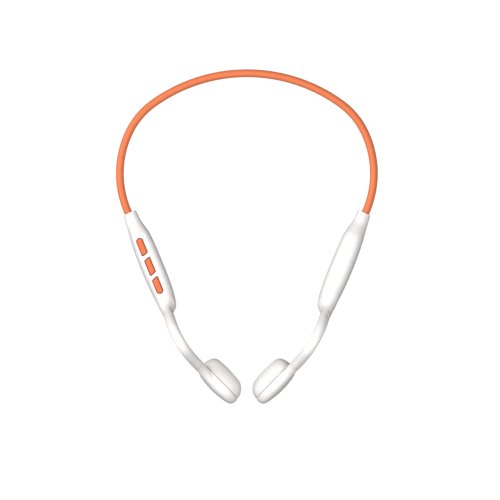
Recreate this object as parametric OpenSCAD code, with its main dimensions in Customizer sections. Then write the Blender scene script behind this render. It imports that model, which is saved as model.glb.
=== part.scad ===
// Bone conduction headphones: a sprung neckband joins two housings that sit behind the ears.
// An ear hook rises from each housing, arches over the ear and ends in a transducer pod.
// +Z is up, -Y is the wearer's front, +Y the back of the neck, -X the wearer's right.
// The set lies on a table: the rear of the band and both pods rest on z = 0.

/* [Neckband] */
// Outer diameter of the silicone jacket
band_d = 3.6; // [3.4:0.1:4]
// Diameter of the titanium core wire
core_d = 1; // [0.8:0.1:1]
// Diameter of the cable bundle that links the two sides
cable_d = 0.9; // [0.7:0.1:0.9]
// Distance from the origin back to the middle of the band
band_reach = 73.7; // [72:0.1:75]
// Radius of the arc across the back of the neck
rear_r = 72; // [70:0.5:74]
// Half of the angle that the rear arc covers
rear_angle = 36; // [35:0.5:37]
// Radius of the arc at each shoulder of the band
shoulder_r = 34; // [33:0.5:35]
// Angle that each shoulder arc covers
shoulder_angle = 29; // [28:0.5:30]
// Radius of the arc along each side
side_r = 43.5; // [42:0.5:45]
// Angle that each side arc covers
side_angle = 49.6; // [49:0.2:50]
// Angle by which the plane of the band drops towards the rear
tip_angle = 4.2; // [4:0.1:4.4]
// Length of jacket held inside each housing's collar
band_grip = 5; // [4:0.5:6]

/* [Housings] */
// Wall thickness of the housing shells
wall = 1.1; // [1:0.1:1.2]
// Thickness of the gasket between the shells
seal_t = 0.2; // [0.1:0.1:0.3]
// Clearance round the jacket in the collar
collar_gap = 0.05; // [0.03:0.01:0.1]

/* [Buttons] */
// Length of the first button along the housing
button_l = 7.5; // [7:0.1:7.8]
// How much shorter the other two buttons are
button_cut = 0.4; // [0:0.1:0.6]
// Width of a button across the housing
button_w = 2.6; // [2.4:0.1:2.8]
// Slant of a button's ends
button_slant = 20; // [15:1:28]
// Gap between a button and its window
button_gap = 0.3; // [0.2:0.05:0.35]
// How far a button travels when it is pressed
button_travel = 0.3; // [0.2:0.05:0.3]

/* [Ear hooks] */
// Outer diameter of a hook's sleeve
hook_d = 5; // [4.6:0.1:5]
// Bore of a hook's sleeve
hook_bore = 2.2; // [2:0.1:2.4]
// Radius of a hook's curve seen from above
hook_plan_r = 54; // [52:1:56]
// Heading of a hook where it leaves the housing, turned inward from straight ahead
hook_heading = 15.5; // [14:0.5:16]

/* [Transducer pods] */
// Heading of a pod's long axis, turned inward from straight ahead
pod_heading = 44; // [42:0.5:46]
// Thickness of a pod's cushion
cushion_t = 6.7; // [6:0.1:7]
// How far the magnet and yoke swing to each side
mass_travel = 0.3; // [0.2:0.05:0.3]

/* [Hidden] */

$fn = 40;
shell_white = [0.93, 0.91, 0.88];
cushion_grey = [0.84, 0.82, 0.79];
band_orange = [0.96, 0.5, 0.3];
metal = [0.7, 0.7, 0.72];
copper = [0.8, 0.5, 0.3];
board_green = [0.1, 0.4, 0.25];

// The plane of the band is tipped so that the rear of the jacket lies on the table.
plane_h = band_d / 2 + band_reach * sin(tip_angle);

// The band's half outline: three arcs, each tangent to the next. A heading is measured
// clockwise from +X, so a point at heading h on an arc is centre + r * [sin(h), cos(h)].
shoulder_heading = rear_angle + shoulder_angle;
end_heading = shoulder_heading + side_angle;
rear_centre = [0, band_reach - rear_r];
shoulder_centre = rear_centre + (rear_r - shoulder_r) * on_circle(rear_angle);
side_centre = shoulder_centre + (shoulder_r - side_r) * on_circle(shoulder_heading);
band_end = side_centre + side_r * on_circle(end_heading);
lean = end_heading - 90;

// The core wire lies above the cable in the jacket.
core_lift = 0.56;
cable_drop = 0.6;
band_bore = 2.4;
wire_end = 11;
cable_end = 12;

// A housing's stations, from the collar forwards to the neck that carries the ear hook. Each
// one has its distance from the end of the band, the height of its middle, how far it leans
// back, the inner and outer edge, half of its height, and how square it is.
stations = [
    [0, 0, 0, -3.6, 2.6, 3.1, 2],
    [5, 0, 0, -3.75, 3.3, 3.7, 2.1],
    [8.5, 0.2, 0, -4.35, 3.8, 5.3, 2.4],
    [12, 0.3, 0, -4.95, 4.35, 6.9, 2.8],
    [17, 0.1, 0, -5.05, 4.9, 7.6, 3.1],
    [23, 0, 0, -4.9, 5.35, 7.85, 3.2],
    [30, 0.05, 1, -4.65, 5.6, 7.95, 3.2],
    [36, 0.5, 6, -4.25, 5.6, 7.5, 3],
    [40.5, 1.6, 16, -3.75, 5.45, 6.7, 2.8],
    [44, 3, 30, -2.95, 5.45, 5.7, 2.5],
    [45.6, 4.3, 40, -2.45, 5.4, 4.85, 2.3],
    [46.9, 5.6, 48, -0.95, 5.35, 4.05, 2.2],
    [48.1, 7.1, 55, 0.2, 5.35, 3.3, 2.1],
    [49.5, 9.2, 61, 0.45, 5.45, 2.75, 2],
    [51, 12, 64, 0.56, 5.56, 2.5, 2]
];
ring_steps = 2;
cavity_start = 8.5;
cavity_end = 41;
seal_end = 44.5;

// Buttons: distance along the housing, offset outwards, height of the top face.
button_places = [[16.6, 0.95, 7.95], [26.3, 1.3, 8.2], [35.7, 1.75, 8.3]];
button_foot = 5.6;
// The buttons stand in one row, which turns outwards from the housing's line.
button_turn = 2.4;
flange_t = 0.4;
flange_grow = 0.6;
flange_gap = 0.15;
membrane_t = 0.3;
membrane_z = button_foot - button_travel - membrane_t - 0.05;
board_z = 3.2;
board_t = 0.8;
switch_w = 2.6;
switch_h = 0.9;

// The charging port, the light and the microphone: distances along the housing and heights.
port_t = 28;
port_z = -3.2;
port_l = 9;
port_h = 3.6;
port_face = -4.35;
port_back = -2.6;
pin_d = 1.6;
pin_step = 2;
light_t = 37.5;
light_z = -2.6;
light_d = 1.5;
light_face = -3.75;
mic_t = 36;

// The hook's route: its root on the housing, then distance run in plan and height. The
// housing's neck ends at place 4 of the route, and the sleeve ends where the pod's neck starts.
// The plan is drawn on the table, so it slides forwards with height in the tipped plane.
hook_root = [35.3, -34.6];
hook_route = [
    [-6.5, 1.5], [-4, 3.3], [-1.3, 5.9], [0.6, 8.9], [1.95, 12], [4.4, 17.2], [8.1, 21.9],
    [13, 24.3], [17.9, 22.5], [21.6, 17.8], [24.5, 12.4], [27.2, 7.4], [30, 3.4], [33, 0.8]
];
hook_rings = 2;
sleeve_start = 4;
sleeve_end = 10.6;
wire_from = 0.8;
wire_to = 11.6;

// The pod: where the seam starts, the height of its middle, and its layers. A layer is the
// depth from the seam, the rear and the tip of the outline there, and half of its height.
pod_seam = [19.8, -57.3];
pod_z = -3.46;
shell_layers = [
    [0, 0, 22.3, 8.5], [1.35, 0.2, 22.6, 8.5], [3.1, 0.8, 22.1, 8.1], [4.2, 1.6, 20.6, 7.3],
    [4.9, 3.4, 17.5, 6], [5.3, 6, 14.5, 4.2]
];
cushion_layers = [
    [0.15, 0.2, 22, 8.3], [1.6, 0.3, 21.9, 8.25], [3, 0.6, 21.3, 7.9], [4.3, 1.1, 20.4, 7.2],
    [5.4, 1.9, 19.1, 6.2], [6.2, 3.2, 17.6, 5.1], [cushion_t + 0.3, 5.6, 15.2, 3.5]
];
// The web between the hook and the shell's back is drawn round these spots in the pod's frame.
web_spots = [[2.3, 0.3, 10], [2.3, -2, 6], [2.4, -8, 5.9]];
web_r = 2.3;
driver_u = [8.4, 13.6];
cavity_r = 5.6;
frame_r = 5.4;
frame_wall = 0.6;
frame_front = 4.2;
plate_t = 1;
spring_z = -2.9;
spring_t = 0.25;
mass_r = 4.2;
mass_u = [8.9, 13.1];
coil_r = [2.7, 3.4];
coil_gap = 0.3;
pod_middle = 11;

function on_circle(h) = [sin(h), cos(h)];

// A smooth curve through a list of points or of stations, at place f from 0 to the last one.
function spline(list, f) =
    let (
        last = len(list) - 1,
        i = max(0, min(floor(f), last - 1)),
        u = f - i,
        a = list[max(i - 1, 0)],
        b = list[i],
        c = list[i + 1],
        d = list[min(i + 2, last)]
    )
    0.5 * (2 * b + (c - a) * u + (2 * a - 5 * b + 4 * c - d) * u * u
        + (3 * b - a - 3 * c + d) * u * u * u);

function signed_power(x, p) = sign(x) * pow(abs(x), p);

function backwards(list) = [for (i = [len(list) - 1:-1:0]) list[i]];

// The ring of one station, drawn in by an inset.
function section(s, inset, sides) = [
    for (k = [0:sides - 1])
        let (
            a = 360 * k / sides,
            across = ((s[4] - s[3]) / 2 - inset) * signed_power(cos(a), 2 / s[6]),
            up = (s[5] - inset) * signed_power(sin(a), 2 / s[6])
        )
        [(s[3] + s[4]) / 2 + across, up * sin(s[2]) - s[0], s[1] + up * cos(s[2])]
];

// A pod's outline at one layer, squarer than an ellipse.
function pod_ring(layer, side) = [
    for (k = [0:27])
        let (a = 360 * k / 28, mid = (layer[1] + layer[2]) / 2)
        [
            side * layer[0],
            -mid + (layer[2] - layer[1]) / 2 * signed_power(cos(a), 2 / 2.4),
            layer[3] * signed_power(sin(a), 2 / 2.4)
        ]
];

// The place of a hook's centre line above a distance run in plan, at height z.
function hook_place(run, z) =
    let (
        start = hook_root,
        turned = hook_heading + max(run, 0) / hook_plan_r * 180 / PI,
        back = min(run, 0)
    )
    [
        start[0] + hook_plan_r * (cos(turned) - cos(hook_heading)) - back * sin(hook_heading),
        start[1] - hook_plan_r * (sin(turned) - sin(hook_heading)) - back * cos(hook_heading)
            - z * sin(tip_angle),
        z
    ];

function hook_at(f) = let (p = spline(hook_route, f)) hook_place(p[0], p[1]);

// A ring of a tube round the hook's centre line; wide and deep are its half axes.
function hook_ring(f, wide, deep, sides, shift) =
    let (
        here = hook_at(f),
        ahead = hook_at(f + 0.02) - hook_at(f - 0.02),
        forward = ahead / norm(ahead),
        flat = [-forward[1], forward[0], 0],
        across = flat / norm(flat),
        up = cross(forward, across)
    )
    [
        for (k = [0:sides - 1])
            let (a = 360 * k / sides)
            here + across * (shift + wide * cos(a)) + up * deep * sin(a)
    ];

// One closed solid through a list of rings. Each ring has the same number of points and runs
// anticlockwise about the direction from the first ring to the last.
module skin(rings) {
    n = len(rings[0]);
    m = len(rings);
    points = [for (r = rings) for (p = r) p];
    sides = [
        for (i = [0:m - 2])
            for (k = [0:n - 1])
                let (a = i * n + k, b = i * n + (k + 1) % n)
                each [[a, b + n, b], [a, a + n, b + n]]
    ];
    first = [for (k = [0:n - 1]) k];
    last = [for (k = [0:n - 1]) m * n - 1 - k];
    polyhedron(points = points, faces = concat([first], sides, [last]), convexity = 6);
}

// The plane of the band, tipped to lie on the table.
module tipped() {
    translate([0, 0, plane_h]) rotate([-tip_angle, 0, 0]) children();
}

// A housing's own frame on the wearer's left: x outwards, -y forwards from the band's end.
module at_housing() {
    translate([band_end[0], band_end[1], 0]) rotate([0, 0, -lean]) children();
}

// A pod's own frame on the wearer's left: x outwards, -y towards the tip, from the seam.
module at_pod() {
    translate([pod_seam[0], pod_seam[1], pod_z]) rotate([0, 0, -pod_heading]) children();
}

module left_side() {
    tipped() children();
}

module right_side() {
    tipped() mirror([1, 0, 0]) children();
}

// The centre line of the band at one heading along its arcs; the right half has headings below 0.
function band_place(h) =
    h < 0 ? [-band_place(-h)[0], band_place(-h)[1]]
    : h < rear_angle ? rear_centre + rear_r * on_circle(h)
    : h < shoulder_heading ? shoulder_centre + shoulder_r * on_circle(h)
    : side_centre + side_r * on_circle(h);

// A ring round the band at a place, in the plane that a heading faces.
function band_ring(place, h, d, lift, sides) = [
    for (k = [0:sides - 1])
        let (a = 360 * k / sides, out = d / 2 * cos(a))
        [place[0] + out * sin(h), place[1] + out * cos(h), lift + d / 2 * sin(a)]
];

// The place that lies straight on from one end of the band, by a reach.
function past_end(side, reach) = [
    side * (band_end[0] - reach * sin(lean)),
    band_end[1] - reach * cos(lean)
];

// A round rod that follows the whole band and runs straight on into both housings.
module band_rod(d, lift, reach, sides) {
    half = [
        for (h = [4:4:32]) h, rear_angle,
        for (h = [rear_angle + 5:5:shoulder_heading - 2]) h, shoulder_heading,
        for (h = [shoulder_heading + 5:5:end_heading - 2]) h, end_heading
    ];
    headings = concat(-backwards(half), [0], half);
    tipped() skin(concat(
        [band_ring(past_end(-1, reach), -end_heading, d, lift, sides)],
        [for (h = headings) band_ring(band_place(h), h, d, lift, sides)],
        [band_ring(past_end(1, reach), end_heading, d, lift, sides)]
    ));
}

module band_sleeve() {
    color(band_orange) difference() {
        band_rod(band_d, 0, band_grip, 16);
        band_rod(band_bore, 0, band_grip + 1, 10);
    }
}

module band_core_wire() {
    color(metal) band_rod(core_d, core_lift, wire_end, 8);
}

module band_cable() {
    color("dimgray") band_rod(cable_d, -cable_drop, cable_end, 8);
}

module housing_solid() {
    last = len(stations) - 1;
    skin([for (i = [0:last * ring_steps]) section(spline(stations, i / ring_steps), 0, 24)]);
}

function station_at(t) = spline(stations, station_place(t, 0));

// The place in the list of stations of a distance along the housing.
function station_place(t, i) =
    t <= stations[i + 1][0] || i == len(stations) - 2
        ? i + (t - stations[i][0]) / (stations[i + 1][0] - stations[i][0])
        : station_place(t, i + 1);

module housing_cavity() {
    steps = 9;
    skin([
        for (i = [0:steps])
            section(station_at(cavity_start + (cavity_end - cavity_start) * i / steps), wall, 16)
    ]);
}

// The bores in a collar for the jacket, the wire and the cable.
module collar_bores() {
    translate([0, 1, 0]) rotate([90, 0, 0]) cylinder(d = band_d + 2 * collar_gap, h = band_grip + 1);
    translate([0, 0, core_lift]) rotate([90, 0, 0]) cylinder(d = core_d + 0.3, h = cavity_start + 2);
    translate([0, 0, -cable_drop]) rotate([90, 0, 0]) cylinder(d = cable_d + 0.3, h = cavity_start + 2);
}

// A hook's centre line as a tube between two places of its route.
module hook_tube(from, to, wide, deep, sides, shift = 0) {
    steps = ceil((to - from) * hook_rings);
    skin([for (i = [0:steps]) hook_ring(from + (to - from) * i / steps, wide, deep, sides, shift)]);
}

module housing_half(top) {
    reach = 60;
    low = top ? seal_t / 2 : -reach;
    intersection() {
        difference() {
            at_housing() difference() {
                housing_solid();
                housing_cavity();
                collar_bores();
            }
            hook_tube(0, sleeve_start + 1, hook_bore / 2, hook_bore / 2, 8);
        }
        translate([-reach, -reach, low]) cube([3 * reach, 2 * reach, reach - seal_t / 2]);
    }
}

// The outline of one button seen from above, grown by a clearance. The rear end of the first
// button is round, and so is the front end of the last one.
module button_outline(i, grow) {
    round_rear = i == 0;
    round_front = i == 2;
    l = (button_l - (i == 0 ? 0 : button_cut)) / 2 + grow;
    w = button_w / 2 + grow;
    shift = w * tan(button_slant);
    rear = round_rear ? l - w : l;
    front = round_front ? l - w : l;
    rear_shift = round_rear ? 0 : shift;
    front_shift = round_front ? 0 : shift;
    polygon([
        [-w, rear + rear_shift], [w, rear - rear_shift],
        [w, -front - front_shift], [-w, -front + front_shift]
    ]);
    if (round_rear) translate([0, rear]) circle(r = w);
    if (round_front) translate([0, -front]) circle(r = w);
}

// Puts something at one button's place, at height z in the housing's frame.
module at_button(i, z) {
    place = button_places[i];
    at_housing() translate([place[1], -place[0], z]) rotate([0, 0, button_turn]) children();
}

module button_prism(i, z, height, grow) {
    at_button(i, z) linear_extrude(height) button_outline(i, grow);
}

module button(i) {
    right_side() color(band_orange) {
        button_prism(i, button_foot, button_places[i][2] - button_foot, 0);
        button_prism(i, button_foot, flange_t, flange_grow);
    }
}

module volume_up_button() {
    button(0);
}

module multifunction_button() {
    button(1);
}

module volume_down_button() {
    button(2);
}

module right_housing_top() {
    right_side() color(shell_white) difference() {
        housing_half(true);
        for (i = [0:2]) {
            button_prism(i, button_foot, 6, button_gap);
            button_prism(i, membrane_z, button_foot + flange_t + flange_gap - membrane_z,
                flange_grow + button_gap);
        }
    }
}

module left_housing_top() {
    left_side() color(shell_white) housing_half(true);
}

// A block through the inner wall, round the port's place.
module port_block(from, to, grow) {
    at_housing() translate([from, -port_t - port_l / 2 - grow, port_z - port_h / 2 - grow])
        cube([to - from, port_l + 2 * grow, port_h + 2 * grow]);
}

// A round rod along x in a housing's frame.
module cross_rod(t, z, from, to, d) {
    at_housing() translate([from, -t, z]) rotate([0, 90, 0]) cylinder(d = d, h = to - from);
}

module right_housing_bottom() {
    right_side() color(shell_white) difference() {
        housing_half(false);
        port_block(-6, port_back + 0.3, 0.05);
        cross_rod(light_t, light_z, -6, -2, light_d + 0.1);
    }
}

module left_housing_bottom() {
    left_side() color(shell_white) housing_half(false);
}

module charging_port() {
    right_side() color("dimgray") difference() {
        port_block(port_face, port_back, 0);
        for (side = [-1, 1]) cross_rod(port_t + pin_step * side, port_z, -6, -2, pin_d + 0.1);
    }
}

module charging_contacts() {
    right_side() color("gold") for (side = [-1, 1])
        cross_rod(port_t + pin_step * side, port_z, port_face + 0.1, port_back + 0.4, pin_d);
}

module status_light() {
    right_side() color("white") cross_rod(light_t, light_z, light_face, light_face + 2, light_d);
}

// The microphone hangs under the board's front end, with its mesh below it.
module microphone() {
    right_side() color(metal) block(0.6, 3.2, mic_t - 1.4, mic_t + 1.4, board_z - 1.1, 1);
}

module microphone_mesh() {
    right_side() color("gray") block(0.6, 2.4, mic_t - 1, mic_t + 1, board_z - 1.5, 0.3);
}

// One edge of the gasket between two distances, drawn in from the housing's edge by an inset.
function seal_edge(inset, side, from, to) = [
    for (i = [0:14])
        let (s = station_at(from + (to - from) * i / 14))
        [side > 0 ? s[4] - inset : s[3] + inset, -s[0]]
];

// The gasket is a loop that is open at the collar, where the band's wire and cable come in.
module seal() {
    rear = cavity_start - 2;
    inner = wall + 0.3;
    color("dimgray") translate([0, 0, -seal_t / 2]) linear_extrude(seal_t) difference() {
        polygon(concat(
            seal_edge(0.35, 1, rear, seal_end),
            backwards(seal_edge(0.35, -1, rear, seal_end))
        ));
        polygon(concat(
            seal_edge(inner, 1, rear - 1, seal_end - 2),
            backwards(seal_edge(inner, -1, rear - 1, seal_end - 2))
        ));
    }
}

module right_housing_seal() {
    right_side() at_housing() seal();
}

module left_housing_seal() {
    left_side() at_housing() seal();
}

// The clamp that holds the end of the band's core wire.
module wire_anchor() {
    color(metal) at_housing() translate([0, -wire_end, core_lift]) difference() {
        translate([-1.5, 0, -core_d / 2 - 0.12]) cube([3, 2, 2]);
        translate([0, 3, 0]) rotate([90, 0, 0]) cylinder(d = core_d, h = 4);
    }
}

module right_wire_anchor() {
    right_side() wire_anchor();
}

module left_wire_anchor() {
    left_side() wire_anchor();
}

module hook_sleeve() {
    color(shell_white) difference() {
        hook_tube(sleeve_start + 0.02, sleeve_end, hook_d / 2, hook_d / 2, 16);
        hook_tube(sleeve_start - 0.5, sleeve_end + 0.5, hook_bore / 2, hook_bore / 2, 8);
    }
}

module hook_wire() {
    color(metal) hook_tube(wire_from, wire_to, 0.42, 0.42, 8, -0.5);
}

module hook_cable() {
    color("dimgray") hook_tube(wire_from, wire_to, 0.38, 0.38, 8, 0.5);
}

module right_hook_sleeve() {
    right_side() hook_sleeve();
}

module left_hook_sleeve() {
    left_side() hook_sleeve();
}

module right_hook_wire() {
    right_side() hook_wire();
}

module left_hook_wire() {
    left_side() hook_wire();
}

module right_hook_cable() {
    right_side() hook_cable();
}

module left_hook_cable() {
    left_side() hook_cable();
}

// A shape with two round ends, extruded across a pod between two depths from the seam.
// Depths towards the head are positive, so they run along -x.
module pod_slot(from, to, r, ends) {
    translate([-from, 0, 0]) rotate([0, -90, 0]) linear_extrude(to - from)
        for (i = [0, 1]) {
            translate([0, -ends[i]]) circle(r = r);
            translate([-r, -ends[1]]) square([2 * r, ends[1] - ends[0]]);
        }
}

// The shell grows out of the hook, and nothing of it passes the seam above the cushion.
module pod_shell() {
    color(shell_white) difference() {
        union() {
            at_pod() skin([for (layer = shell_layers) pod_ring(layer, 1)]);
            hook_tube(sleeve_end + 0.02, 12.4, hook_d / 2, hook_d / 2, 16);
            at_pod() hull() for (spot = web_spots) translate(spot) sphere(r = web_r, $fn = 12);
        }
        at_pod() pod_slot(-4.2, 0.1, cavity_r, driver_u);
        at_pod() translate([-10, -30, -15]) cube([10, 30, 30]);
        hook_tube(sleeve_end - 0.2, 12, hook_bore / 2, hook_bore / 2, 8);
    }
}

module pod_cushion() {
    color(cushion_grey) at_pod() difference() {
        skin([for (layer = backwards(cushion_layers)) pod_ring(layer, -1)]);
        pod_slot(0, frame_front, cavity_r, driver_u);
        translate([-cushion_t - 5, -30, -15]) cube([5, 40, 30]);
    }
}

module right_pod_shell() {
    right_side() pod_shell();
}

module left_pod_shell() {
    left_side() pod_shell();
}

module right_pod_cushion() {
    right_side() pod_cushion();
}

module left_pod_cushion() {
    left_side() pod_cushion();
}

// The transducer's frame: a cup that is closed by the plate behind the cushion.
module driver_frame() {
    color("silver") at_pod() difference() {
        pod_slot(spring_z + spring_t, frame_front, frame_r, driver_u);
        pod_slot(spring_z, frame_front - plate_t, frame_r - frame_wall, driver_u);
    }
}

// A ring round the pod's middle between two depths.
module pod_tube(from, to, inner, outer) {
    translate([-from, -pod_middle, 0]) rotate([0, -90, 0]) difference() {
        cylinder(r = outer, h = to - from);
        translate([0, 0, -1]) cylinder(r = inner, h = to - from + 2);
    }
}

module voice_coil() {
    color(copper) at_pod() pod_tube(1.2, frame_front - plate_t, coil_r[0], coil_r[1]);
}

// The magnet and yoke: the coil stands in its ring-shaped gap.
module driver_mass() {
    front = frame_front - plate_t - 3 * mass_travel;
    color("gray") at_pod() {
        difference() {
            pod_slot(spring_z + spring_t + 0.05, front, mass_r, mass_u);
            pod_tube(0.6, front + 1, coil_r[0] - coil_gap, coil_r[1] + coil_gap);
        }
        translate([-spring_z - spring_t, -pod_middle, 0]) rotate([0, -90, 0]) cylinder(r = 1.5, h = 0.5);
    }
}

// The leaf spring: a plate with two slots that leave a flexing strip.
module leaf_spring() {
    color("lightgray") at_pod() difference() {
        pod_slot(spring_z, spring_z + spring_t, frame_r - 0.1, driver_u);
        for (side = [-1, 1]) translate([2, -pod_middle - 3.5, side * 3 - 0.5]) cube([2, 7, 1]);
    }
}

module right_driver_frame() {
    right_side() driver_frame();
}

module left_driver_frame() {
    left_side() driver_frame();
}

module right_voice_coil() {
    right_side() voice_coil();
}

module left_voice_coil() {
    left_side() voice_coil();
}

module right_driver_mass() {
    right_side() driver_mass();
}

module left_driver_mass() {
    left_side() driver_mass();
}

module right_leaf_spring() {
    right_side() leaf_spring();
}

module left_leaf_spring() {
    left_side() leaf_spring();
}

// A plain block in a housing's frame: from one distance to another, centred on offset n.
module block(n, width, from, to, z, height) {
    at_housing() translate([n - width / 2, -to, z]) cube([width, to - from, height]);
}

module main_board() {
    right_side() color(board_green) block(0.6, 4.6, 13.5, 37.5, board_z, board_t);
}

module bluetooth_module() {
    right_side() color(metal) block(0.6, 4.6, 20, 27, board_z - 1.5, 1.5);
}

module button_switches() {
    right_side() color("black") for (i = [0:2])
        at_button(i, board_z + board_t) translate([-switch_w / 2, -switch_w / 2, 0])
            cube([switch_w, switch_w, switch_h]);
}

module keypad_membrane() {
    right_side() color("gray") block(0.9, 3.8, 13.5, 37.5, membrane_z, membrane_t);
}

module battery() {
    left_side() color("silver") block(0.35, 5.6, 15.8, 33.4, -4.3, 8.4);
}

module battery_board() {
    left_side() color(board_green) block(0, 4.4, 12.6, 13.6, -2.5, 5);
}

band_sleeve();
band_core_wire();
band_cable();
right_housing_top();
right_housing_bottom();
right_housing_seal();
right_wire_anchor();
right_hook_sleeve();
right_hook_wire();
right_hook_cable();
right_pod_shell();
right_pod_cushion();
right_driver_frame();
right_voice_coil();
right_driver_mass();
right_leaf_spring();
main_board();
bluetooth_module();
button_switches();
keypad_membrane();
volume_up_button();
multifunction_button();
volume_down_button();
charging_port();
charging_contacts();
microphone();
microphone_mesh();
status_light();
left_housing_top();
left_housing_bottom();
left_housing_seal();
left_wire_anchor();
left_hook_sleeve();
left_hook_wire();
left_hook_cable();
left_pod_shell();
left_pod_cushion();
left_driver_frame();
left_voice_coil();
left_driver_mass();
left_leaf_spring();
battery();
battery_board();
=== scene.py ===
"""Bone conduction headphones, lying on a pale floor and seen from above.

The smooth shapes repeat the part's own formulas, in millimetres, in the flat frame of the
band's plane: x outwards on the wearer's left, -y forwards, z up. in_frame() mirrors points to
a side, tips them onto the floor and turns them into metres.
"""

import math

import bpy
import numpy as np
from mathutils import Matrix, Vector


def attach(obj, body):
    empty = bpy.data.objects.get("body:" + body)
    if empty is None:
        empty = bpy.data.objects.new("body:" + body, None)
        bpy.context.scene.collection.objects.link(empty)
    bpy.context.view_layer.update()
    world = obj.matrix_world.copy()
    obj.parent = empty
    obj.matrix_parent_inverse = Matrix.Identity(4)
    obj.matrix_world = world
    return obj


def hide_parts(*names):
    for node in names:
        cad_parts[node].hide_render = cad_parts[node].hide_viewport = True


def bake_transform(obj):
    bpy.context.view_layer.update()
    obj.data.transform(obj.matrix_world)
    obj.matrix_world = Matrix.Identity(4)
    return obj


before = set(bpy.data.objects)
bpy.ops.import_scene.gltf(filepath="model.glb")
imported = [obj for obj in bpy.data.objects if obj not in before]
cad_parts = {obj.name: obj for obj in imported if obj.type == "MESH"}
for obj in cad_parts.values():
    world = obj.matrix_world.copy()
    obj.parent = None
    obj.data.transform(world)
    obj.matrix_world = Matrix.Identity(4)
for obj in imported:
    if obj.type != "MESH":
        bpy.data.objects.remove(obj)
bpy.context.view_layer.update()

METRES = 0.001
# Edges that turn by more than this angle stay sharp.
SHARP = 35
LEFT = 1
RIGHT = -1
SIDE_NAMES = {LEFT: "left", RIGHT: "right"}

# The neckband: its radius, the height of its axis at the rear, three tangent arcs to each side,
# and the drop of their plane to the rear.
BAND_R, BAND_AXIS_Z = 1.79, 1.8
BAND_BORE_R = 1.2
BAND_REACH = 73.7
REAR_R, REAR_ANGLE = 72, 36
SHOULDER_R, SHOULDER_ANGLE = 34, 29
SIDE_R, SIDE_ANGLE = 43.5, 49.6
TIP_ANGLE = 4.2
BAND_GRIP = 5
CORE_R, CORE_LIFT, CORE_END = 0.5, 0.56, 11
CABLE_R, CABLE_LIFT, CABLE_END = 0.45, -0.6, 12
WIRE_GAP = 0.15
# How finely the band is drawn.
ARC_RINGS, GRIP_RINGS = 116, 6
JACKET_SIDES, WIRE_SIDES = 48, 20

# A housing's stations: distance from the band's end, height of the middle, lean, inner and
# outer edge, half of the height, squareness.
STATIONS = np.array([
    [0, 0, 0, -3.6, 2.6, 3.1, 2],
    [5, 0, 0, -3.75, 3.3, 3.7, 2.1],
    [8.5, 0.2, 0, -4.35, 3.8, 5.3, 2.4],
    [12, 0.3, 0, -4.95, 4.35, 6.9, 2.8],
    [17, 0.1, 0, -5.05, 4.9, 7.6, 3.1],
    [23, 0, 0, -4.9, 5.35, 7.85, 3.2],
    [30, 0.05, 1, -4.65, 5.6, 7.95, 3.2],
    [36, 0.5, 6, -4.25, 5.6, 7.5, 3],
    [40.5, 1.6, 16, -3.75, 5.45, 6.7, 2.8],
    [44, 3, 30, -2.95, 5.45, 5.7, 2.5],
    [45.6, 4.3, 40, -2.45, 5.4, 4.85, 2.3],
    [46.9, 5.6, 48, -0.95, 5.35, 4.05, 2.2],
    [48.1, 7.1, 55, 0.2, 5.35, 3.3, 2.1],
    [49.5, 9.2, 61, 0.5, 5.4, 2.7, 2],
    [51, 12, 64, 0.61, 5.51, 2.45, 2],
])
WALL = 1.1
SEAL_T = 0.2
CAVITY = (8.5, 41)
COLLAR_GAP = 0.05
RIM_ROUND = 0.45
BODY_RINGS, CAVITY_RINGS, CAVITY_SIDES = 150, 60, 96

# Buttons: distance along the housing, offset outwards, height of the top face. The key stands
# in its window with an inset, and its flange lies in a pocket under the window.
BUTTON_PLACES = [(16.6, 0.95, 7.95), (26.3, 1.3, 8.2), (35.7, 1.75, 8.3)]
BUTTON_NAMES = ["volume_up_button", "multifunction_button", "volume_down_button"]
BUTTON_LENGTHS = [7.5, 7.1, 7.1]
BUTTON_W = 2.6
KEY_INSET = 0.08
BUTTON_SLANT = 20
BUTTON_TURN = 2.4
BUTTON_FOOT = 5.6
BUTTON_GAP = 0.33
FLANGE_T, FLANGE_GROW, FLANGE_GAP = 0.4, 0.6, 0.15
MEMBRANE_Z = 4.95
KEY_ROLL, KEY_SHARP = 0.42, 40
STROKE_HALF, STROKE_W, MARK_DEPTH = 0.6, 0.13, 0.13
PLAY_CORNERS = [(-0.55, 0.5), (0, -0.65), (0.55, 0.5)]

# The charging port, its pins and the light, on the inner wall of the right housing.
PORT_T, PORT_Z, PORT_L, PORT_H = 28, -3.2, 9, 3.6
PORT_FACE, PORT_BACK = -4.35, -2.6
PIN_R, PIN_STEPS = 0.8, (-2, 2)
FIT = 0.05
LIGHT_T, LIGHT_Z, LIGHT_R, LIGHT_FACE = 37.5, -2.6, 0.75, -3.75

# The ear hook: its root in plan, then distance run in plan and height.
HOOK_ROOT = (35.3, -34.6)
HOOK_R, HOOK_BORE_R = 2.43, 1.1
HOOK_PLAN_R, HOOK_HEADING = 54, 15.5
HOOK_ROUTE = np.array([
    [-6.5, 1.5], [-4, 3.3], [-1.3, 5.9], [0.6, 8.9], [1.95, 12], [4.4, 17.2], [8.1, 21.9],
    [13, 24.23], [17.9, 22.5], [21.6, 17.8], [24.5, 12.4], [27.2, 7.4], [30, 3.4], [33, 0.8],
])
# Places along the route: the soft sleeve, where the pod's neck shows, and the rod it is cut from.
SLEEVE = (4.02, 10.6)
SLEEVE_RINGS = 24
NECK_START = 10.62
NECK = (10.3, 12.2)

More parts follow.
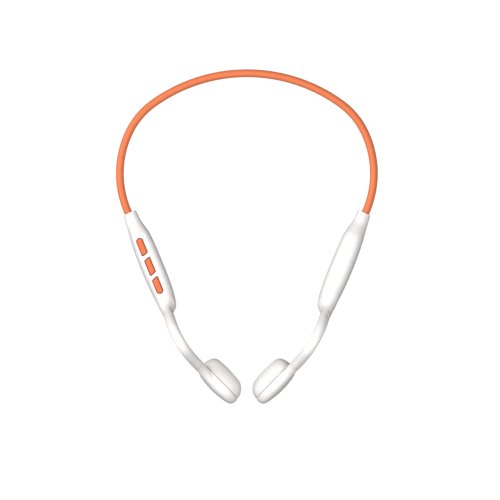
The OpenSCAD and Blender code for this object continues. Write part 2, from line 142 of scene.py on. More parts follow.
# The pod: the seam's start in plan, the height of its middle, its heading and its layers:
# depth from the seam, the outline's rear and tip, half of its height.
POD_SEAM = (19.8, -57.3)
POD_Z = -3.46
POD_HEADING = 44
POD_SQUARE = 2.4
SHELL_LAYERS = np.array([
    [0, 0, 22.2, 8.48], [1.35, 0.2, 22.45, 8.48], [3.1, 0.8, 21.97, 8.1], [4.2, 1.6, 20.58, 7.3],
    [4.9, 3.4, 17.5, 6], [5.3, 6, 14.5, 4.2],
])
CUSHION_LAYERS = np.array([
    [0.15, 0.2, 22, 8.3], [1.6, 0.3, 21.9, 8.25], [3, 0.6, 21.3, 7.9], [4.3, 1.1, 20.4, 7.2],
    [5.4, 1.9, 19.1, 6.2], [6.2, 3.2, 17.6, 5.1], [7, 5.6, 15.2, 3.5],
])
# The middle line of the web between the neck and the shell's back, in the pod's frame.
WEB_SPOTS = [
    (2.44, 2.06, 13.6), (2.38, 1.15, 12), (2.3, -0.3, 10.1), (2.3, -2.3, 8.4), (2.35, -4.8, 7),
    (2.4, -7.6, 6.2), (2.4, -10.5, 6),
]
WEB_R = 2.3
SHELL_VOXEL, SHELL_SMOOTHING, POD_SHARP = 0.22, 14, 50
CUSHION_T, CUSHION_ROLL = 6.7, 0.35
# The transducer's cavity, and its spring: faces, round ends and half of its width.
CAVITY_R = 5.6
DRIVER_U = (8.4, 13.6)
FRAME_FRONT = 4.2
SPRING_X, SPRING_R, SPRING_HALF = (2.65, 2.9), 5.3, 3.45


def on_circle(heading):
    return np.array([math.sin(math.radians(heading)), math.cos(math.radians(heading))])


SHOULDER_HEADING = REAR_ANGLE + SHOULDER_ANGLE
END_HEADING = SHOULDER_HEADING + SIDE_ANGLE
LEAN = math.radians(END_HEADING - 90)
PLANE_H = BAND_AXIS_Z + BAND_REACH * math.sin(math.radians(TIP_ANGLE))
REAR_CENTRE = np.array([0, BAND_REACH - REAR_R])
SHOULDER_CENTRE = REAR_CENTRE + (REAR_R - SHOULDER_R) * on_circle(REAR_ANGLE)
SIDE_CENTRE = SHOULDER_CENTRE + (SHOULDER_R - SIDE_R) * on_circle(SHOULDER_HEADING)
BAND_END = SIDE_CENTRE + SIDE_R * on_circle(END_HEADING)


# ---------------------------------------------------------------- shapes


def spline(rows, place):
    """A smooth curve through rows of numbers, at a place from 0 to the last row."""
    last = len(rows) - 1
    i = max(0, min(int(math.floor(place)), last - 1))
    u = place - i
    a, b, c, d = rows[max(i - 1, 0)], rows[i], rows[i + 1], rows[min(i + 2, last)]
    bend = 2 * a - 5 * b + 4 * c - d
    twist = 3 * b - a - 3 * c + d
    return 0.5 * (2 * b + (c - a) * u + bend * u**2 + twist * u**3)


def power(x, p):
    return np.sign(x) * np.abs(x) ** p


def turn(sides):
    """Angles once round, in radians."""
    return (np.arange(sides) + 0.5) * 2 * math.pi / sides


def station_place(t):
    """The place in STATIONS of a distance along the housing."""
    return float(np.interp(t, STATIONS[:, 0], np.arange(len(STATIONS))))


def housing_ring(place, inset=0.0, sides=128):
    """A housing's outline at one place, drawn in by an inset, in the housing's frame."""
    t, middle, lean, inner, outer, half, square = spline(STATIONS, place)
    a = turn(sides)
    across = ((outer - inner) / 2 - inset) * power(np.cos(a), 2 / square)
    up = (half - inset) * power(np.sin(a), 2 / square)
    lean = math.radians(lean)
    x = (inner + outer) / 2 + across
    return np.column_stack([x, up * math.sin(lean) - t, middle + up * math.cos(lean)])


def from_housing(points):
    """From a housing's frame, x outwards and -y forwards from the band's end."""
    x, y, z = np.asarray(points, float).T
    c, s = math.cos(LEAN), math.sin(LEAN)
    return np.column_stack([BAND_END[0] + c * x + s * y, BAND_END[1] - s * x + c * y, z])


def from_pod(points):
    """From a pod's frame, x outwards and -y towards the tip, from the seam."""
    x, y, z = np.asarray(points, float).T
    c, s = math.cos(math.radians(POD_HEADING)), math.sin(math.radians(POD_HEADING))
    return np.column_stack([POD_SEAM[0] + c * x + s * y, POD_SEAM[1] - s * x + c * y, POD_Z + z])


def hook_at(f):
    """The hook's centre line at a place of its route."""
    run, z = spline(HOOK_ROUTE, f)
    start = math.radians(HOOK_HEADING)
    turned = start + max(run, 0) / HOOK_PLAN_R
    back = min(run, 0)
    x = HOOK_ROOT[0] + HOOK_PLAN_R * (math.cos(turned) - math.cos(start)) - back * math.sin(start)
    y = HOOK_ROOT[1] - HOOK_PLAN_R * (math.sin(turned) - math.sin(start)) - back * math.cos(start)
    return np.array([x, y - z * math.sin(math.radians(TIP_ANGLE)), z])


def hook_ring(f, radius, shift=0.0, sides=48):
    """A ring round the hook's centre line."""
    ahead = hook_at(f + 0.02) - hook_at(f - 0.02)
    forward = ahead / np.linalg.norm(ahead)
    across = np.array([-forward[1], forward[0], 0])
    across /= np.linalg.norm(across)
    up = np.cross(forward, across)
    a = turn(sides)[:, None]
    return hook_at(f) + across * (shift + radius * np.cos(a)) + up * radius * np.sin(a)


def hook_tube(start, end, radius, shift=0.0, sides=48, per_place=10):
    steps = max(2, round((end - start) * per_place))
    return [hook_ring(f, radius, shift, sides) for f in np.linspace(start, end, steps + 1)]


def pod_ring(layer, side, sides=112):
    """A pod's outline at one layer."""
    depth, rear, tip, half = layer
    a = turn(sides)
    along = (tip - rear) / 2 * power(np.cos(a), 2 / POD_SQUARE)
    up = half * power(np.sin(a), 2 / POD_SQUARE)
    return np.column_stack([np.full(sides, side * depth), along - (rear + tip) / 2, up])


def band_place(heading):
    if heading < REAR_ANGLE:
        return REAR_CENTRE + REAR_R * on_circle(heading)
    if heading < SHOULDER_HEADING:
        return SHOULDER_CENTRE + SHOULDER_R * on_circle(heading)
    return SIDE_CENTRE + SIDE_R * on_circle(heading)


def band_rings(radius, lift, reach, sides):
    """Rings round the left half of the band, from its rear, then straight on by a reach."""
    out = radius * np.cos(turn(sides))
    up = lift + radius * np.sin(turn(sides))
    rings = []
    for heading in np.linspace(0, END_HEADING, ARC_RINGS):
        x, y = band_place(heading)
        s, c = on_circle(heading)
        rings.append(np.column_stack([x + out * s, y + out * c, up]))
    s, c = on_circle(END_HEADING)
    end = rings[-1]
    for step in np.linspace(0, reach, GRIP_RINGS + 1)[1:]:
        rings.append(end + step * np.array([c, -s, 0]))
    return rings


def skin(rings):
    """A closed solid through rings that run anticlockwise about the direction of the sweep."""
    n, m = len(rings[0]), len(rings)
    faces = []
    for i in range(m - 1):
        for k in range(n):
            a, b = i * n + k, i * n + (k + 1) % n
            faces.append((a, b, b + n, a + n))
    faces.append(tuple(reversed(range(n))))
    faces.append(tuple(range((m - 1) * n, m * n)))
    return np.vstack(rings), faces


def tube(outer, inner):
    """A closed pipe between two lists of rings, which have the same shape."""
    n, m = len(outer[0]), len(outer)
    size = n * m
    faces = []
    for k in range(n):
        after = (k + 1) % n
        for i in range(m - 1):
            a, b = i * n + k, i * n + after
            faces.append((a, b, b + n, a + n))
            faces.append((size + b, size + a, size + a + n, size + b + n))
        faces.append((after, k, size + k, size + after))
        a, b = (m - 1) * n + k, (m - 1) * n + after
        faces.append((a, b, size + b, size + a))
    return np.vstack(outer + inner), faces


def layered(outline, levels, axes=(0, 1, 2), origin=(0, 0, 0)):
    """A solid through one outline at several heights; levels are (height, grow)."""
    rings = []
    for height, grow in levels:
        flat = outline(grow)
        ring = np.zeros((len(flat), 3))
        ring[:, axes[0]] = flat[:, 0]
        ring[:, axes[1]] = flat[:, 1]
        ring[:, axes[2]] = height
        rings.append(ring + np.array(origin, float))
    return skin(rings)


def rounded(corners, radii, per_corner=8):
    """A polygon, anticlockwise, with each corner rounded by its own radius."""
    points = []
    count = len(corners)
    for i in range(count):
        here = np.array(corners[i], float)
        to_last = np.array(corners[i - 1], float) - here
        to_next = np.array(corners[(i + 1) % count], float) - here
        to_last /= np.linalg.norm(to_last)
        to_next /= np.linalg.norm(to_next)
        half = math.acos(float(np.clip(to_last @ to_next, -1, 1))) / 2
        middle = to_last + to_next
        middle /= np.linalg.norm(middle)
        centre = here + middle * radii[i] / math.sin(half)
        start = -middle
        sweep = math.pi / 2 - half
        for a in np.linspace(-sweep, sweep, per_corner):
            c, s = math.cos(a), math.sin(a)
            spoke = np.array([c * start[0] - s * start[1], s * start[0] + c * start[1]])
            points.append(centre + radii[i] * spoke)
    return np.array(points)


def rotated(flat, angle):
    """A flat outline turned anticlockwise by an angle in degrees."""
    c, s = math.cos(math.radians(angle)), math.sin(math.radians(angle))
    return flat @ np.array([[c, s], [-s, c]])


def box_shape(low, high):
    (x0, y0, z0), (x1, y1, z1) = low, high
    ring = [(x0, y0), (x1, y0), (x1, y1), (x0, y1)]
    return skin([np.array([(x, y, z) for x, y in ring], float) for z in (z0, z1)])


def disc(radius, sides=40):
    """An outline function for a circle."""
    a = turn(sides)

    def outline(grow):
        return (radius + grow) * np.column_stack([np.cos(a), np.sin(a)])

    return outline


# ---------------------------------------------------------------- meshes


def solid(name, shape, move=None):
    """An object from (points, faces), in millimetres in the flat frame."""
    points, faces = shape
    if move is not None:
        points = move(points)
    mesh = bpy.data.meshes.new(name)
    mesh.from_pydata([tuple(map(float, p)) for p in points], [], faces)
    mesh.validate()
    mesh.update()
    made = bpy.data.objects.new(name, mesh)
    bpy.context.scene.collection.objects.link(made)
    return made


def bake(piece):
    """Applies a piece's modifiers to its mesh."""
    bpy.context.view_layer.update()
    evaluated = piece.evaluated_get(bpy.context.evaluated_depsgraph_get())
    mesh = bpy.data.meshes.new_from_object(evaluated)
    piece.modifiers.clear()
    piece.data = mesh


def combine(piece, tools, operation="DIFFERENCE"):
    """Cuts the tools out of a piece, or joins them to it, and removes them."""
    for tool in tools:
        step = piece.modifiers.new("combine", "BOOLEAN")
        step.operation = operation
        step.solver = "MANIFOLD"
        step.object = tool
    bake(piece)
    for tool in tools:
        bpy.data.objects.remove(tool)
    return piece


def in_frame(points, side):
    """Points of the flat frame, mirrored to a side, tipped onto the floor and in metres."""
    x, y, z = np.asarray(points, float).T
    c, s = math.cos(math.radians(TIP_ANGLE)), math.sin(math.radians(TIP_ANGLE))
    return np.column_stack([side * x, c * y + s * z, PLANE_H - s * y + c * z]) * METRES


def place_in_frame(piece, side):
    mesh = piece.data
    points = np.zeros(len(mesh.vertices) * 3)
    mesh.vertices.foreach_get("co", points)
    mesh.vertices.foreach_set("co", in_frame(points.reshape(-1, 3), side).ravel())
    if side == RIGHT:
        mesh.flip_normals()
    mesh.update()


def dress(piece, material, sharp=SHARP):
    """Smooths a piece's faces up to an angle in degrees and gives it its material."""
    piece.data.shade_smooth()
    piece.data.set_sharp_from_angle(angle=math.radians(sharp))
    piece.data.materials.clear()
    piece.data.materials.append(MATERIALS[material])


def finish_piece(piece, side, material, node, body=None, sharp=SHARP):
    """Puts a piece in the frame, dresses it, hides the node it stands for and, given a body, hangs
    it under that body.
    """
    place_in_frame(piece, side)
    dress(piece, material, sharp)
    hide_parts(node)
    if body:
        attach(piece, body)


# ---------------------------------------------------------------- materials

DRIFT_SCALE = 140
ROUGH_SPREAD = 0.06


def linear(colour):
    """From 0-255 sRGB values, all above 10, to linear light."""
    return tuple(((c / 255 + 0.055) / 1.055) ** 2.4 for c in colour)


def moulded(name, colour, rough, mottle, grain, bump, **settings):
    """A moulded material: colour drifts a little over millimetres, and a fine grain, its size
    in millimetres, carries bump and roughness."""
    made = bpy.data.materials.new(name)
    made.use_nodes = True
    tree = made.node_tree
    shader = tree.nodes["Principled BSDF"]
    for key, value in settings.items():
        shader.inputs[key].default_value = value
    where = tree.nodes.new("ShaderNodeTexCoord")
    drift = tree.nodes.new("ShaderNodeTexNoise")
    drift.inputs["Scale"].default_value = DRIFT_SCALE
    drift.inputs["Detail"].default_value = 3
    tree.links.new(where.outputs["Object"], drift.inputs["Vector"])
    tint = tree.nodes.new("ShaderNodeMix")
    tint.data_type = "RGBA"
    for end, factor in (("A", 1 - mottle), ("B", 1 + mottle)):
        tint.inputs[end].default_value = (*(min(1, c * factor) for c in linear(colour)), 1)
    tree.links.new(drift.outputs["Fac"], tint.inputs["Factor"])
    tree.links.new(tint.outputs["Result"], shader.inputs["Base Color"])
    fine = tree.nodes.new("ShaderNodeTexNoise")
    fine.inputs["Scale"].default_value = 1 / (grain * METRES)
    fine.inputs["Detail"].default_value = 2
    tree.links.new(where.outputs["Object"], fine.inputs["Vector"])
    dull = tree.nodes.new("ShaderNodeMapRange")
    dull.inputs["To Min"].default_value = rough - ROUGH_SPREAD
    dull.inputs["To Max"].default_value = rough + ROUGH_SPREAD
    tree.links.new(fine.outputs["Fac"], dull.inputs["Value"])
    tree.links.new(dull.outputs["Result"], shader.inputs["Roughness"])
    relief = tree.nodes.new("ShaderNodeBump")
    relief.inputs["Strength"].default_value = bump
    relief.inputs["Distance"].default_value = grain * METRES * 0.3
    tree.links.new(fine.outputs["Fac"], relief.inputs["Height"])
    tree.links.new(relief.outputs["Normal"], shader.inputs["Normal"])
    return made


MATERIALS = {
    "shell": moulded(
        "shell_plastic", (241, 238, 236), 0.36, mottle=0.01, grain=0.1, bump=0.06,
        **{"Coat Weight": 0.15, "Coat Roughness": 0.25},
    ),
    "hook": moulded(
        "hook_silicone", (251, 249, 247), 0.42, mottle=0.012, grain=0.14, bump=0.08,
    ),
    "cushion": moulded(
        "cushion_silicone", (240, 236, 233), 0.46, mottle=0.015, grain=0.16, bump=0.1,
        **{"Subsurface Weight": 0.15, "Subsurface Scale": 0.002},
    ),
    "jacket": moulded(
        "jacket_silicone", (228, 117, 66), 0.5, mottle=0.05, grain=0.2, bump=0.2,
        **{"Sheen Weight": 0.15, "Sheen Roughness": 0.4},
    ),
    "button": moulded(
        "button_rubber", (234, 112, 58), 0.45, mottle=0.05, grain=0.15, bump=0.15,
    ),
    "gasket": moulded(
        "gasket_rubber", (48, 46, 45), 0.7, mottle=0.1, grain=0.2, bump=0.2,
    ),
    "spring_metal": moulded(
        "titanium_wire", (178, 176, 172), 0.3, mottle=0.05, grain=0.08, bump=0.1,
        **{"Metallic": 1.0, "Anisotropic": 0.5},
    ),
    "cable": moulded(
        "cable_sheath", (52, 52, 56), 0.5, mottle=0.08, grain=0.2, bump=0.15,
    ),
    "steel": moulded(
        "plated_steel", (196, 197, 200), 0.25, mottle=0.04, grain=0.08, bump=0.08,
        **{"Metallic": 1.0},
    ),
    "copper": moulded(
        "enamelled_copper", (190, 106, 64), 0.3, mottle=0.08, grain=0.1, bump=0.3,
        **{"Metallic": 1.0, "Coat Weight": 0.5},
    ),
    "board": moulded(
        "solder_mask", (22, 86, 56), 0.35, mottle=0.2, grain=0.6, bump=0.2,
    ),
    "dark_plastic": moulded(
        "dark_plastic", (46, 44, 44), 0.5, mottle=0.08, grain=0.12, bump=0.15,
    ),
    "membrane": moulded(
        "membrane_silicone", (186, 182, 176), 0.55, mottle=0.04, grain=0.2, bump=0.1,
    ),
    "gold": moulded(
        "gold_plating", (224, 178, 92), 0.22, mottle=0.03, grain=0.06, bump=0.05,
        **{"Metallic": 1.0},
    ),
    "mesh": moulded(
        "woven_steel", (150, 150, 152), 0.4, mottle=0.2, grain=0.1, bump=0.8,
        **{"Metallic": 1.0},
    ),
    "lens": moulded(
        "frosted_lens", (236, 240, 238), 0.3, mottle=0.02, grain=0.1, bump=0.05,
        **{"Transmission Weight": 0.5, "IOR": 1.49},
    ),
    "foil": moulded(
        "battery_foil", (188, 190, 194), 0.35, mottle=0.05, grain=0.4, bump=0.35,
        **{"Metallic": 0.9},
    ),
}


# ---------------------------------------------------------------- neckband


def band_piece(name, side, shape, material, node):
    """A piece of the band, from its rear middle into a housing, put in the frame and dressed."""
    piece = solid(f"{SIDE_NAMES[side]}_{name}", shape)
    finish_piece(piece, side, material, node)
    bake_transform(piece)


def neckband(side):
    outer = band_rings(BAND_R, 0, BAND_GRIP, JACKET_SIDES)
    inner = band_rings(BAND_BORE_R, 0, BAND_GRIP, JACKET_SIDES)
    band_piece("neckband_jacket", side, tube(outer, inner), "jacket", "band_sleeve")
    core = skin(band_rings(CORE_R, CORE_LIFT, CORE_END, WIRE_SIDES))
    band_piece("core_wire", side, core, "spring_metal", "band_core_wire")
    cable = skin(band_rings(CABLE_R, CABLE_LIFT, CABLE_END, WIRE_SIDES))
    band_piece("band_cable", side, cable, "cable", "band_cable")


# ---------------------------------------------------------------- housings


def housing_body():
    """A housing's outer form, with a rounded rim at the collar."""
    rings = []
    for q in np.linspace(90, 0, 7):
        q = math.radians(q)
        place = station_place(RIM_ROUND * (1 - math.sin(q)))
        rings.append(housing_ring(place, inset=RIM_ROUND * (1 - math.cos(q))))
    last = len(STATIONS) - 1
    start = station_place(RIM_ROUND)
    for place in np.linspace(start, last, BODY_RINGS)[1:]:
        rings.append(housing_ring(place))
    return solid("housing", skin(rings), from_housing)


def along_housing(radius, lift, end):
    """A rod along a housing, from just behind the collar."""
    rings = []
    a = turn(JACKET_SIDES)
    for t in np.linspace(-1, end, 3):
        back = np.full(len(a), -t)
        rings.append(np.column_stack([radius * np.cos(a), back, lift + radius * np.sin(a)]))
    return solid("rod", skin(rings), from_housing)


def housing_cavity():
    places = [station_place(t) for t in np.linspace(CAVITY[0], CAVITY[1], CAVITY_RINGS)]
    rings = [housing_ring(place, inset=WALL, sides=CAVITY_SIDES) for place in places]
    return solid("cavity", skin(rings), from_housing)


def housing_half(name, top):
    """One shell of a housing, hollow, with bores for the band, its wire and the hook's wires."""
    reach = 100
    below = -reach if top else -SEAL_T / 2
    above = SEAL_T / 2 if top else reach
    shell = housing_body()
    shell.name = name
    tools = [
        solid("plane", box_shape((-reach, -reach, below), (reach, reach, above))),
        housing_cavity(),
        along_housing(BAND_R + COLLAR_GAP, 0, BAND_GRIP),
        along_housing(CORE_R + WIRE_GAP, CORE_LIFT, CAVITY[0] + 2),
        along_housing(CABLE_R + WIRE_GAP, CABLE_LIFT, CAVITY[0] + 2),
        solid("hook_bore", skin(hook_tube(0, SLEEVE[0] + 1, HOOK_BORE_R))),
    ]
    return combine(shell, tools)


def button_outline(index):
    """An outline function for one button, seen from above: its ends slant, and the outer end
    of the first and of the last button is round."""

    def outline(grow):
        long, wide = BUTTON_LENGTHS[index] / 2 + grow, BUTTON_W / 2 + grow
        shift = wide * math.tan(math.radians(BUTTON_SLANT))
        rear = 0 if index == 0 else shift
        front = 0 if index == 2 else shift
        small, large = 0.4 + 0.7 * max(grow, -0.35), 1.25 + grow
        corners = [(-wide, front - long), (wide, -front - long)]
        corners += [(wide, long - rear), (-wide, long + rear)]
        ahead = large if index == 2 else small
        behind = large if index == 0 else small
        return rotated(rounded(corners, [ahead, ahead, behind, behind]), BUTTON_TURN)

    return outline


def button_origin(index):
    t, offset, _ = BUTTON_PLACES[index]
    return (offset, -t, 0)


def button_window(index):
    """The tools that cut one button's window and the pocket for its flange."""
    outline = button_outline(index)
    pocket_top = BUTTON_FOOT + FLANGE_T + FLANGE_GAP
    window = [(BUTTON_FOOT, BUTTON_GAP), (BUTTON_FOOT + 6, BUTTON_GAP)]
    pocket = [(MEMBRANE_Z, FLANGE_GROW + BUTTON_GAP), (pocket_top, FLANGE_GROW + BUTTON_GAP)]
    return [
        solid("window", layered(outline, levels, origin=button_origin(index)), from_housing)
        for levels in (window, pocket)
    ]


def mark(corners, radius, index):
    """A tool that engraves a small polygon in the middle of a button."""
    top = BUTTON_PLACES[index][2]

    def outline(grow):
        return rotated(rounded(corners, [radius] * len(corners), 4), BUTTON_TURN)

    levels = [(top - MARK_DEPTH, 0), (top + 1, 0)]
    return solid("mark", layered(outline, levels, origin=button_origin(index)), from_housing)


def stroke(half_l, half_w, index):
    corners = [(-half_w, -half_l), (half_w, -half_l), (half_w, half_l), (-half_w, half_l)]
    return mark(corners, min(half_l, half_w) * 0.5, index)


def button_marks(index):
    """Generic marks: a plus, a triangle and a minus."""
    if index == 1:
        return [mark(PLAY_CORNERS, 0.12, index)]
    across = stroke(STROKE_W, STROKE_HALF, index)
    if index == 2:
        return [across]
    return [stroke(STROKE_HALF, STROKE_W, index), across]


def button(index):
    """A rubber key: a flange inside the housing, straight sides, a rolled edge, a low crown."""
    top = BUTTON_PLACES[index][2]
    flange_top = BUTTON_FOOT + FLANGE_T
    levels = [(BUTTON_FOOT, FLANGE_GROW - 0.05), (BUTTON_FOOT + 0.05, FLANGE_GROW)]
    levels += [(flange_top, FLANGE_GROW), (flange_top + 0.01, -KEY_INSET)]
    for q in np.radians(np.linspace(0, 90, 8)):
        height = top - KEY_ROLL - 0.08 + KEY_ROLL * math.sin(q)
        levels.append((height, -KEY_INSET - KEY_ROLL * (1 - math.cos(q))))
    levels += [(top - 0.05, -0.6), (top - 0.02, -0.75), (top - 0.01, -0.95)]
    name = BUTTON_NAMES[index]
    shape = layered(button_outline(index), levels, origin=button_origin(index))
    key = solid(f"{name}_key", shape, from_housing)
    combine(key, button_marks(index))
    finish_piece(key, RIGHT, "button", name, name, sharp=KEY_SHARP)


def across_housing(outline, levels, t, z, name="cross"):
    """A solid that stands on the inner wall of a housing and faces the head."""
    shape = layered(outline, levels, axes=(1, 2, 0), origin=(0, -t, z))
    return solid(name, shape, from_housing)


def port_outline(grow):
    long, high = PORT_L / 2 + grow, PORT_H / 2 + grow
    corners = [(-long, -high), (long, -high), (long, high), (-long, high)]
    return rounded(corners, [high * 0.95] * 4, 12)


def housings(side):
    name = SIDE_NAMES[side]
    body = f"{name}_side"
    top = housing_half(f"{name}_housing_top_shell", True)
    bottom = housing_half(f"{name}_housing_bottom_shell", False)
    if side == RIGHT:
        windows = []
        for index in range(3):
            windows += button_window(index)
        combine(top, windows)
        combine(bottom, [
            across_housing(port_outline, [(-6, FIT), (PORT_BACK + 0.3, FIT)], PORT_T, PORT_Z),
            across_housing(disc(LIGHT_R), [(-6, FIT), (-2, FIT)], LIGHT_T, LIGHT_Z),
        ])
    finish_piece(top, side, "shell", f"{name}_housing_top", body)
    finish_piece(bottom, side, "shell", f"{name}_housing_bottom", body)


def port():
    """The magnetic charging port: a dished pill with two gilt pins, and the light."""
    levels = [(PORT_BACK, -0.02), (PORT_FACE + 0.2, -0.02), (PORT_FACE + 0.06, -0.08)]
    levels += [(PORT_FACE, -0.22), (PORT_FACE + 0.02, -0.4), (PORT_FACE + 0.1, -0.55)]
    pill = across_housing(port_outline, levels[::-1], PORT_T, PORT_Z, "charging_port_pill")
    hole = [(PORT_FACE - 2, FIT), (PORT_BACK + 1, FIT)]
    combine(pill, [across_housing(disc(PIN_R), hole, PORT_T + step, PORT_Z) for step in PIN_STEPS])
    finish_piece(pill, RIGHT, "dark_plastic", "charging_port", "right_side")
    face = PORT_FACE + 0.12
    levels = [(face, -0.3), (face + 0.03, -0.14), (face + 0.12, 0), (PORT_BACK + 0.4, 0)]
    for number, step in enumerate(PIN_STEPS, start=1):
        name = f"charging_pin_{number}"
        pin = across_housing(disc(PIN_R), levels, PORT_T + step, PORT_Z, name)
        finish_piece(pin, RIGHT, "gold", "charging_contacts", "right_side")
    dome = []
    for q in np.radians(np.linspace(12, 90, 7)):
        dome.append((LIGHT_FACE + 0.2 * (1 - math.cos(q)), LIGHT_R * (math.sin(q) - 1)))
    dome.append((LIGHT_FACE + 2, 0))
    lens = across_housing(disc(LIGHT_R), dome, LIGHT_T, LIGHT_Z, "status_light_lens")
    finish_piece(lens, RIGHT, "lens", "status_light", "right_side")


# ---------------------------------------------------------------- ear hooks and pods


def hook(side):
    name = SIDE_NAMES[side]
    outer = hook_tube(SLEEVE[0], SLEEVE[1], HOOK_R, per_place=SLEEVE_RINGS)
    inner = hook_tube(SLEEVE[0], SLEEVE[1], HOOK_BORE_R, per_place=SLEEVE_RINGS)
    sleeve = solid(f"{name}_hook_silicone", tube(outer, inner))
    finish_piece(sleeve, side, "hook", f"{name}_hook_sleeve", f"{name}_side")


def slot_shape(start, end, radius, ends):
    """A shape with two round ends, across a pod between two depths from the seam."""
    points = []
    for a in np.linspace(-90, 90, 25):
        a = math.radians(a)
        points.append((-ends[0] + radius * math.cos(a), radius * math.sin(a)))
    for a in np.linspace(90, 270, 25):
        a = math.radians(a)
        points.append((-ends[1] + radius * math.cos(a), radius * math.sin(a)))
    flat = np.array(points)
    rings = [np.column_stack([np.full(len(flat), x), flat]) for x in (start, end)]
    return skin(rings)


def pod_web():
    """The web that eases the hook into the shell's back: a thick rod along a curve."""
    spots = np.array(WEB_SPOTS)
    a = turn(40)[:, None]
    rings = []
    for f in np.linspace(0, len(spots) - 1, 50):
        ahead = spline(spots, f + 0.01) - spline(spots, f - 0.01)
        forward = ahead / np.linalg.norm(ahead)
        across = np.array([1.0, 0, 0])
        up = np.cross(forward, across)
        rings.append(spline(spots, f) + WEB_R * (across * np.cos(a) + up * np.sin(a)))
    return solid("web", skin(rings), from_pod)


def pod_shell(side):
    """The pod's hard shell: a domed dish that grows out of the hook."""
    name = SIDE_NAMES[side]
    last = len(SHELL_LAYERS) - 1
    layers = [[-inward, *SHELL_LAYERS[0][1:]] for inward in (2.6, 1.6, 0.8)]
    layers += [spline(SHELL_LAYERS, f) for f in np.linspace(0, last, 40)]
    depth, rear, tip, half = SHELL_LAYERS[-1]
    middle = (rear + tip) / 2
    for shrink, rise in ((0.8, 0.1), (0.55, 0.18), (0.3, 0.22)):
        reach = (tip - rear) / 2 * shrink
        layers.append([depth + rise, middle - reach, middle + reach, half * shrink])
    rings = [pod_ring(layer, 1) for layer in layers]
    shell = solid(f"{name}_pod_hard_shell", skin(rings), from_pod)
    neck = [hook_ring(f, HOOK_R) for f in np.linspace(NECK[0], NECK[1], 30)]
    combine(shell, [solid("neck", skin(neck)), pod_web()], "UNION")
    remesh = shell.modifiers.new("remesh", "REMESH")
    remesh.mode = "VOXEL"
    remesh.voxel_size = SHELL_VOXEL
    remesh.adaptivity = 0
    smooth = shell.modifiers.new("smooth", "SMOOTH")
    smooth.factor = 0.5
    smooth.iterations = SHELL_SMOOTHING
    bake(shell)
    reach = 40
    tools = [
        solid("seam", box_shape((-reach, -reach, -reach), (0, 0, reach)), from_pod),
        solid("cavity", slot_shape(-0.1, 4.2, CAVITY_R, DRIVER_U), from_pod),
        solid("bore", skin(hook_tube(NECK_START - 0.6, 12, HOOK_BORE_R))),
        solid("neck_end", skin(hook_tube(9.8, NECK_START, 4))),
    ]
    combine(shell, tools)
    finish_piece(shell, side, "shell", f"{name}_pod_shell", f"{name}_side", sharp=POD_SHARP)


def pod_cushion(side):
    """The silicone pad that rests on the cheekbone: rolled edges and a low crown."""
    name = SIDE_NAMES[side]
    depth, rear, tip, half = CUSHION_LAYERS[0]
    layers = []
    for q in np.radians(np.linspace(90, 0, 6)):
        inset = CUSHION_ROLL * (1 - math.cos(q))
        rise = CUSHION_ROLL * (1 - math.sin(q))
        layers.append([depth + rise, rear + inset, tip - inset, half - inset])
    for f in np.linspace(0.2, len(CUSHION_LAYERS) - 1, 60):
        layer = spline(CUSHION_LAYERS, f)
        if layer[0] < CUSHION_T - CUSHION_ROLL:
            layers.append(layer)
    depth, rear, tip, half = layers[-1]
    middle = (rear + tip) / 2
    for shrink in np.linspace(1, 0.04, 14)[1:]:
        rise = (CUSHION_T - depth) * (1 - shrink**2)
        reach = (tip - rear) / 2 * shrink
        layers.append([depth + rise, middle - reach, middle + reach, half * shrink])
    rings = [pod_ring(layer, -1)[::-1] for layer in layers]
    pad = solid(f"{name}_cushion_pad", skin(rings), from_pod)
    combine(pad, [solid("cavity", slot_shape(-FRAME_FRONT, 1, CAVITY_R, DRIVER_U), from_pod)])
    finish_piece(pad, side, "cushion", f"{name}_pod_cushion", f"{name}_side")


def leaf_spring(side):
    """The leaf spring in two halves, each running from a round end to the middle."""
    name = SIDE_NAMES[side]
    corner = math.asin(SPRING_HALF / SPRING_R)
    steps = [SPRING_R * (1 - math.cos(q)) for q in np.linspace(0.05, corner, 12)]
    middle = (DRIVER_U[1] - DRIVER_U[0]) / 2 + SPRING_R
    steps += list(np.linspace(steps[-1], middle, 24)[1:])
    ends = (("tip", -DRIVER_U[1] - SPRING_R, 1), ("rear", -DRIVER_U[0] + SPRING_R, -1))
    for end, edge, way in ends:
        rings = []
        for d in steps:
            half = min(SPRING_HALF, math.sqrt(SPRING_R**2 - max(0, SPRING_R - d) ** 2))
            corners = [(0, -half), (0, half), (1, half), (1, -half)]
            rings.append(np.array([(SPRING_X[k], edge + way * d, z) for k, z in corners]))
        spring = solid(f"{name}_spring_{end}", skin(rings[::way]), from_pod)
        finish_piece(spring, side, "spring_metal", f"{name}_leaf_spring")
        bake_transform(spring)


# ---------------------------------------------------------------- parts shown as they are

# What each inner node is made of, by the end of its name.
CAD_FINISHES = {
    "housing_seal": "gasket",
    "wire_anchor": "steel",
    "hook_wire": "spring_metal",
    "hook_cable": "cable",
    "driver_frame": "steel",
    "voice_coil": "copper",
    "driver_mass": "steel",
    "main_board": "board",
    "bluetooth_module": "steel",
    "button_switches": "dark_plastic",
    "keypad_membrane": "membrane",
    "microphone": "steel",
    "microphone_mesh": "mesh",
    "battery": "foil",
    "battery_board": "board",
}


def finish_cad_nodes():
    for name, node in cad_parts.items():
        for ending, finish in CAD_FINISHES.items():
            if name.endswith(ending):
                dress(node, finish)


# ---------------------------------------------------------------- stage

SWEEP_START, SWEEP_R = 3.6, 2.2
FLOOR_SIDES = 96
SKY_STRENGTH = 0.18
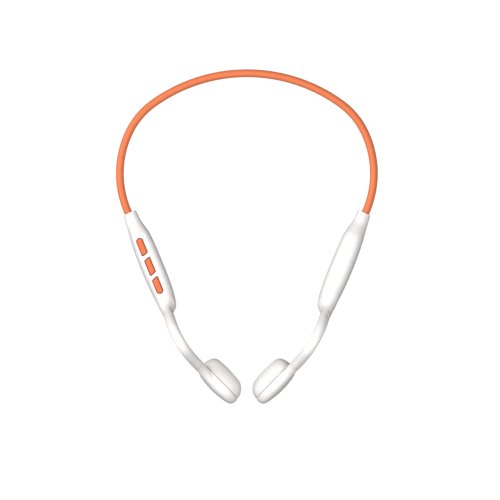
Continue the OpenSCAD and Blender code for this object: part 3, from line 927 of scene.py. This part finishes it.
# Name, place, aim, side and power of each lamp.
LAMPS = [
    ("overhead", (-0.45, 0.1, 1.7), (-0.45, 0.1, 0), 3.2, 41),
    ("left_softbox", (-1.3, 0.55, 0.8), (0, 0, 0.01), 0.8, 13),
    ("front_fill", (0.75, -0.8, 1.5), (0, 0, 0.01), 0.6, 7),
]
SENSOR = 36
CAMERA_DISTANCE, OBJECT_Z = 4, 0.01
FIELD_WIDTH = 0.225
CAMERA_CENTRE = (0.0014, -0.0062)


def area_light(name, place, aim, size, power):
    data = bpy.data.lights.new(name, "AREA")
    data.shape = "SQUARE"
    data.size = size
    data.energy = power
    lamp = bpy.data.objects.new(name, data)
    bpy.context.scene.collection.objects.link(lamp)
    lamp.location = place
    lamp.rotation_mode = "QUATERNION"
    lamp.rotation_quaternion = (Vector(aim) - Vector(place)).to_track_quat("-Z", "Y")
    lamp.visible_camera = False


def backdrop():
    """A pale floor that sweeps up all round. It glows a little, so it stays pale from every
    side, and it throws no light back at the object, whose sides keep their shade."""
    profile = [(1, 0), (3, 0)]
    for q in np.radians(np.linspace(0, 80, 17)):
        profile.append((SWEEP_START + SWEEP_R * math.sin(q), SWEEP_R * (1 - math.cos(q))))
    points = [(0, 0, 0)]
    for radius, height in profile:
        for a in turn(FLOOR_SIDES):
            points.append((radius * math.cos(a), radius * math.sin(a), height))
    faces = []
    for k in range(FLOOR_SIDES):
        after = (k + 1) % FLOOR_SIDES
        faces.append((0, 1 + k, 1 + after))
        for i in range(1, len(profile)):
            here = 1 + i * FLOOR_SIDES
            before = here - FLOOR_SIDES
            faces.append((before + k, here + k, here + after, before + after))
    mesh = bpy.data.meshes.new("floor")
    mesh.from_pydata(points, [], faces)
    mesh.shade_smooth()
    floor = bpy.data.objects.new("floor", mesh)
    bpy.context.scene.collection.objects.link(floor)
    paper = moulded(
        "floor_paper", (150, 150, 150), 0.9, mottle=0.002, grain=0.5, bump=0.02,
        **{"Emission Color": (1, 1, 1, 1), "Emission Strength": 0.86, "Specular IOR Level": 0.1},
    )
    floor.data.materials.append(paper)
    floor.visible_diffuse = False
    floor.visible_glossy = False
    floor.visible_transmission = False
    floor.visible_shadow = False


def studio():
    """Weak ambient light, a large soft lamp overhead, one from the left and a small fill."""
    scene = bpy.context.scene
    scene.view_settings.view_transform = "Standard"
    scene.world = bpy.data.worlds.new("studio")
    scene.world.use_nodes = True
    sky = scene.world.node_tree.nodes["Background"]
    sky.inputs["Color"].default_value = (1, 0.985, 0.975, 1)
    sky.inputs["Strength"].default_value = SKY_STRENGTH
    for name, place, aim, size, power in LAMPS:
        area_light(name, place, aim, size, power)


def camera():
    """Straight above and far back: at the object's height it sees a square of FIELD_WIDTH."""
    data = bpy.data.cameras.new("camera")
    data.sensor_width = SENSOR
    data.lens = SENSOR * (CAMERA_DISTANCE - OBJECT_Z) / FIELD_WIDTH
    data.clip_end = 100
    made = bpy.data.objects.new("camera", data)
    made.location = (*CAMERA_CENTRE, CAMERA_DISTANCE)
    bpy.context.scene.collection.objects.link(made)
    bpy.context.scene.camera = made


for side in (LEFT, RIGHT):
    neckband(side)
    housings(side)
    hook(side)
    pod_shell(side)
    pod_cushion(side)
    leaf_spring(side)
for index in range(3):
    button(index)
port()
finish_cad_nodes()
backdrop()
studio()
camera()
